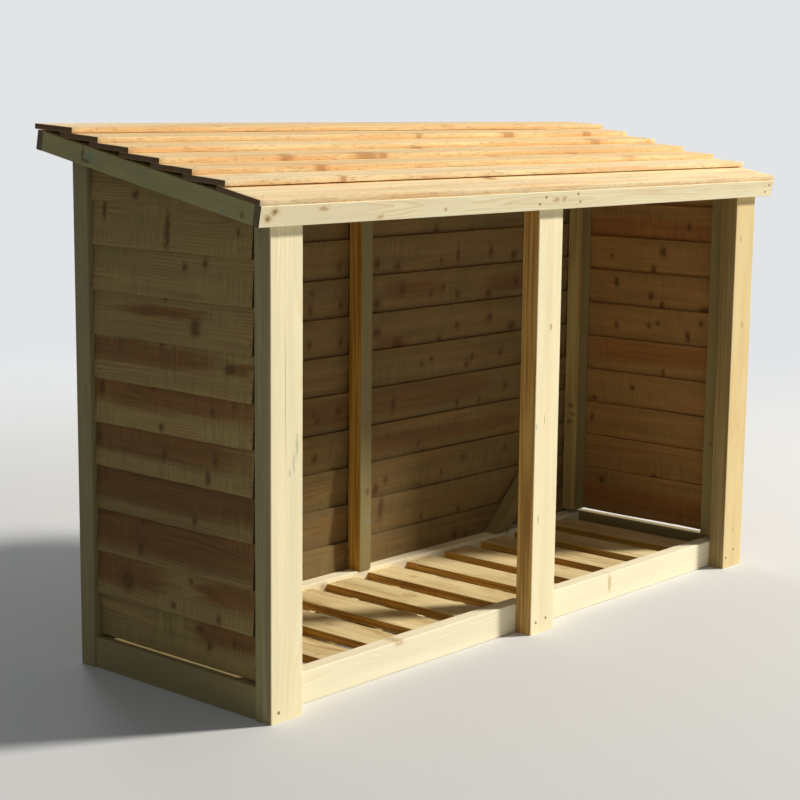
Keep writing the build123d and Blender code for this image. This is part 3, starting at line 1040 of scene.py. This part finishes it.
def metal(name, shade):
    """A dull metal with a fine speckle."""
    graph = Graph(name)
    speckle = graph.cloud(graph.coordinates("Object"), SPECKLE_NOISE)
    graph.surface("Base Color", graph.brighter(shade, graph.math("ADD", speckle, METAL_LIFT)))
    graph.surface("Roughness", graph.math("MULTIPLY_ADD", speckle, METAL_ROUGH_SWING, METAL_ROUGHNESS))
    graph.surface("Metallic", METALLIC)
    return graph.material


def ring_of(shape, radius, height, place, turn):
    """A closed row of points: a circle, or the cross of a driver's recess."""
    points = []
    for number in range(HEAD_SIDES):
        angle = 2 * math.pi * number / HEAD_SIDES
        off_arm = abs((angle + QUARTER_TURN / 2) % QUARTER_TURN - QUARTER_TURN / 2)
        in_waist = shape == "cross" and off_arm >= CROSS_ARM_ANGLE
        reach = radius * (CROSS_WAIST if in_waist else 1.0)
        points.append(place + turn @ Vector((reach * math.cos(angle), reach * math.sin(angle), height)))
    return points


def add_head(heads, place, outward, rows):
    """Adds one fixing head, as rings of vertices joined by faces and closed at both ends."""
    turn = outward.to_track_quat("Z", "Y").to_matrix()
    rings = []
    for shape, radius, height in rows:
        points = ring_of(shape, radius * MM, height * MM, place, turn)
        rings.append([heads.verts.new(point) for point in points])
    for outer, inner in zip(rings, rings[1:]):
        for number in range(HEAD_SIDES):
            after = (number + 1) % HEAD_SIDES
            heads.faces.new((outer[number], outer[after], inner[after], inner[number]))
    heads.faces.new(rings[-1])
    heads.faces.new(tuple(reversed(rings[0])))


def heads_piece(name, places, rows, material):
    """All the heads of one kind as one piece."""
    heads = bmesh.new()
    for place, outward in places:
        add_head(heads, place * MM, outward, rows)
    piece = finish_mesh(heads, name, material)


def screw_places():
    """Where the screws are, in millimetres, each with the direction that its head faces."""
    front_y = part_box("front_post_left")[0].y / MM
    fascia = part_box("fascia_front")[0]
    places = [(Vector((x, front_y, z)), -Y_AXIS) for x, z in FOOT_SCREWS]
    for x, z in FASCIA_SCREWS:
        rise = z - fascia.z / MM
        y = fascia.y / MM + FASCIA_LEAN - rise * math.tan(ROOF_SLOPE)
        places.append((Vector((x, y, z)), -UP_SLOPE))
    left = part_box("rafter_left")[0].x / MM
    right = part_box("rafter_right")[1].x / MM
    for x, outward in ((left, -X_AXIS), (right, X_AXIS)):
        places += [(Vector((x, y, z)), outward) for y, z in RAFTER_SCREWS]
    return places


def slat_nails():
    """Two nails at each end of every floor slat, over the ledgers."""
    places = []
    for node in floor_slats():
        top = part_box(node)[1].z
        for ledger in ("slat_ledger_front", "slat_ledger_back"):
            for side in (-NAIL_SIDE, NAIL_SIDE):
                place = Vector((middle(node).x + side * MM, middle(ledger).y, top))
                places.append((place / MM, Z_AXIS))
    return places


# Floor, surround, lamps and camera

def floor_and_fade():
    """A wide pale floor that fades away towards its rim."""
    ground = bmesh.new()
    bmesh.ops.create_grid(ground, x_segments=1, y_segments=1, size=FLOOR_REACH)
    mesh = bpy.data.meshes.new("floor")
    ground.to_mesh(mesh)
    ground.free()
    floor = bpy.data.objects.new("floor", mesh)
    bpy.context.scene.collection.objects.link(floor)
    graph = Graph("floor")
    graph.surface("Base Color", FLOOR_SHADE)
    graph.surface("Roughness", FLOOR_ROUGHNESS)
    graph.surface("Specular IOR Level", FLOOR_GLOSS)
    away = graph.step(graph.vector("LENGTH", graph.coordinates("Object")), *FLOOR_FADE)
    clear = graph.add("BsdfTransparent").outputs["BSDF"]
    faded = graph.blend(away, graph.shader.outputs["BSDF"], clear)
    graph.put(graph.tree.nodes["Material Output"].inputs["Surface"], faded)
    mesh.materials.append(graph.material)


def surround():
    """A faint even light from all round, and a pale backdrop that only the camera sees."""
    world = bpy.data.worlds.new("surround")
    bpy.context.scene.world = world
    world.use_nodes = True
    tree = world.node_tree
    lighting = tree.nodes["Background"]
    lighting.inputs["Color"].default_value = SURROUND_LIGHT
    lighting.inputs["Strength"].default_value = SURROUND_STRENGTH
    seen = tree.nodes.new("ShaderNodeBackground")
    seen.inputs["Color"].default_value = BACKDROP
    blend = tree.nodes.new("ShaderNodeMixShader")
    tree.links.new(tree.nodes.new("ShaderNodeLightPath").outputs["Is Camera Ray"], blend.inputs[0])
    tree.links.new(lighting.outputs[0], blend.inputs[1])
    tree.links.new(seen.outputs[0], blend.inputs[2])
    tree.links.new(blend.outputs[0], tree.nodes["World Output"].inputs["Surface"])


def lamp(name, place, target, size, power, shade):
    """A round lamp that the camera doesn't see."""
    light = bpy.data.lights.new(name, "AREA")
    light.shape = "DISK"
    light.size = size
    light.energy = power
    light.color = shade
    holder = bpy.data.objects.new(name, light)
    holder.location = place
    holder.rotation_euler = (Vector(target) - Vector(place)).to_track_quat("-Z", "Y").to_euler()
    holder.visible_camera = False
    bpy.context.scene.collection.objects.link(holder)


def camera():
    """A camera at the photograph's viewpoint."""
    flat = math.cos(CAMERA_PITCH)
    forward = Vector((math.sin(CAMERA_YAW) * flat, math.cos(CAMERA_YAW) * flat, math.sin(CAMERA_PITCH)))
    level = Vector((math.cos(CAMERA_YAW), -math.sin(CAMERA_YAW), 0))
    rise = level.cross(forward)
    right = level * math.cos(CAMERA_ROLL) + rise * math.sin(CAMERA_ROLL)
    up = rise * math.cos(CAMERA_ROLL) - level * math.sin(CAMERA_ROLL)
    lens = bpy.data.cameras.new("camera")
    lens.sensor_width = SENSOR_WIDTH
    lens.lens = FOCAL_PIXELS / IMAGE_PIXELS * SENSOR_WIDTH
    lens.clip_end = CLIP_END
    holder = bpy.data.objects.new("camera", lens)
    turn = Matrix((right, up, -forward)).transposed()
    holder.matrix_world = Matrix.Translation(CAMERA_PLACE) @ turn.to_4x4()
    bpy.context.scene.collection.objects.link(holder)
    bpy.context.scene.camera = holder


bpy.context.scene.view_settings.view_transform = "Standard"
upright_timbers()
level_timbers()
floor_timbers()
nails = walls() + roof()
heads_piece("screw_heads", screw_places(), SCREW_ROWS, metal("screw_steel", SCREW_COLOUR))
heads_piece("nail_heads", nails + slat_nails(), NAIL_ROWS, metal("nail_steel", NAIL_COLOUR))
floor_and_fade()
surround()
for settings in LAMPS:
    lamp(*settings)
camera()
